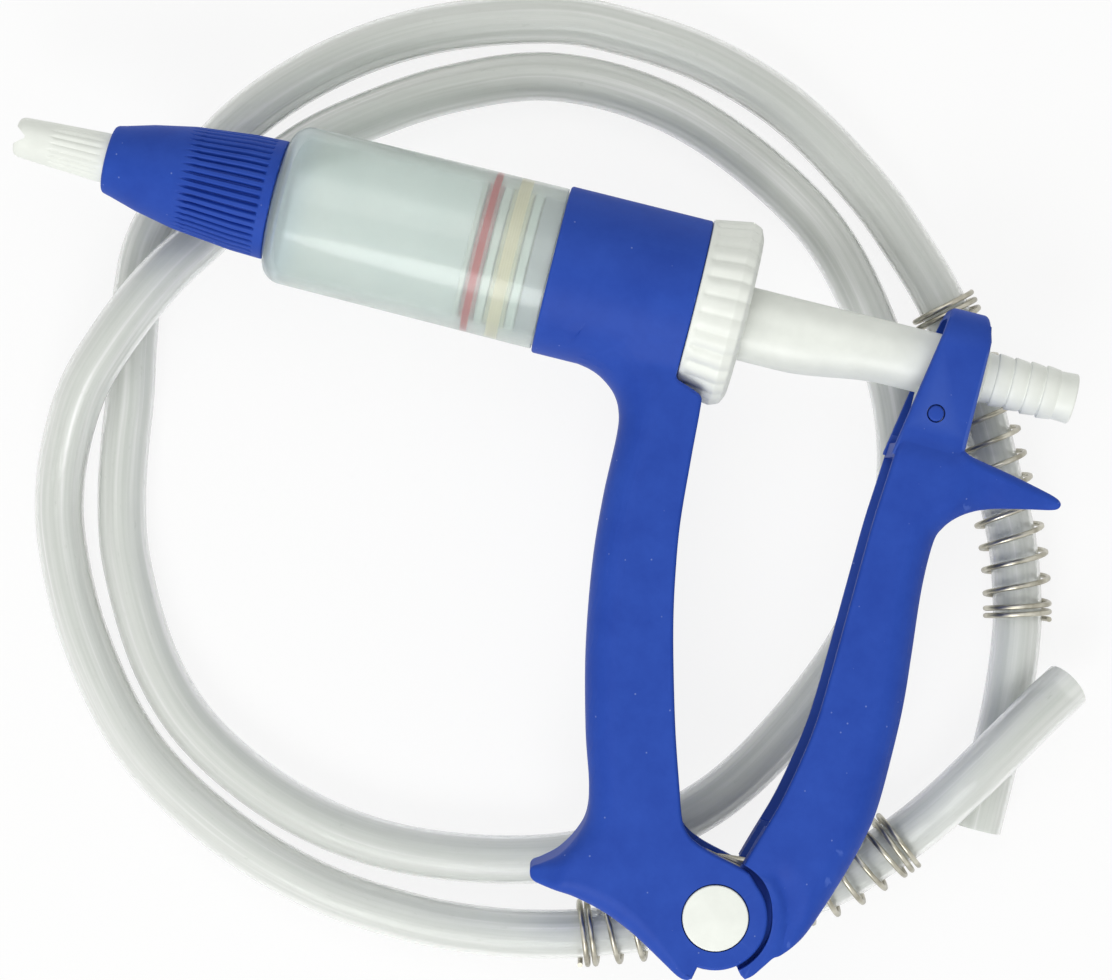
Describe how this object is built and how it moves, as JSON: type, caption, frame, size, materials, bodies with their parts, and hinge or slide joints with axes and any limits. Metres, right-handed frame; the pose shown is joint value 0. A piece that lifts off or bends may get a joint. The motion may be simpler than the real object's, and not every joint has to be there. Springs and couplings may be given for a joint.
{
  "type": "pour-on applicator",
  "caption": "Squeeze-grip dosing gun with a see-through barrel, tapered nozzle, scalloped dose nut and ridged hose tail, lying on its loosely wound clear feed hose.",
  "frame": {"origin": "centre of the outer face of the upper hinge cap", "axes": "+X along the barrel from the nozzle to the hose tail, +Y from the hinge up to the barrel, +Z out of the upper hinge cap, across the gun"},
  "size_m": [0.2849, 0.2366, 0.0547],
  "materials": {
    "blue_plastic": "satin moulded royal blue",
    "white_plastic": "satin moulded white",
    "clear_plastic": "milky see-through moulding",
    "cream_plastic": "cream, matt",
    "grey_plastic": "light grey, matt",
    "red_rubber": "red seal rubber",
    "black_rubber": "black seal rubber",
    "pin_steel": "turned steel",
    "spring_steel": "drawn steel wire",
    "clear_hose": "clear flexible hose, slightly grey"
  },
  "bodies": {
    "gun_body": {"handle_frame": "blue_plastic", "barrel": "clear_plastic", "nose_cap": "blue_plastic", "nozzle": "white_plastic", "outlet_seat": "white_plastic", "neck_seal": "black_rubber", "outlet_spring": "spring_steel", "hinge_pin": "pin_steel", "hinge_cap_upper": "white_plastic", "hinge_cap_lower": "white_plastic", "return_spring": "spring_steel", "hose": "clear_hose", "hose_spring_rear": "spring_steel", "hose_spring_front": "spring_steel"},
    "trigger": {"trigger_lever": "blue_plastic", "yoke_pin": "blue_plastic"},
    "plunger": {"plunger_rod": "white_plastic", "piston": "white_plastic", "piston_o_ring": "red_rubber", "guide_ring": "cream_plastic", "inlet_retainer": "white_plastic", "inlet_spring": "spring_steel"},
    "outlet_valve": {"outlet_valve": "white_plastic"},
    "inlet_valve": {"inlet_valve": "white_plastic"},
    "dose_nut": {"dose_nut": "white_plastic"},
    "stop_sleeve": {"stop_sleeve": "grey_plastic"}
  },
  "joints": [
    {"name": "trigger_pivot", "type": "hinge", "parent": "gun_body", "child": "trigger", "pos_m": [0, 0, -0.0149], "axis": [0, 0, 1], "range_deg": [0, 17.5], "stiffness_Nm_per_rad": 2, "springref_deg": -20.05},
    {"name": "plunger_stroke", "type": "slide", "parent": "gun_body", "child": "plunger", "axis": [-1, 0, 0], "range_m": [0, 0.0398]},
    {"name": "outlet_valve_lift", "type": "slide", "parent": "gun_body", "child": "outlet_valve", "axis": [-1, 0, 0], "range_m": [0, 0.0015], "stiffness_N_per_m": 120},
    {"name": "inlet_valve_lift", "type": "slide", "parent": "plunger", "child": "inlet_valve", "axis": [-1, 0, 0], "range_m": [0, 0.0015], "stiffness_N_per_m": 90},
    {"name": "dose_nut_turn", "type": "hinge", "parent": "gun_body", "child": "dose_nut", "pos_m": [-0.034, 0.1402, -0.0149], "axis": [1, 0, 0], "range_deg": [0, 345]},
    {"name": "stop_sleeve_shift", "type": "slide", "parent": "gun_body", "child": "stop_sleeve", "axis": [1, 0, 0], "range_m": [0, 0.0058]}
  ],
  "couplings": [
    {"joint": "plunger_stroke", "follows": "trigger_pivot", "m_per_rad": 0.12971},
    {"joint": "stop_sleeve_shift", "follows": "dose_nut_turn", "m_per_rad": 0.000955}
  ]
}
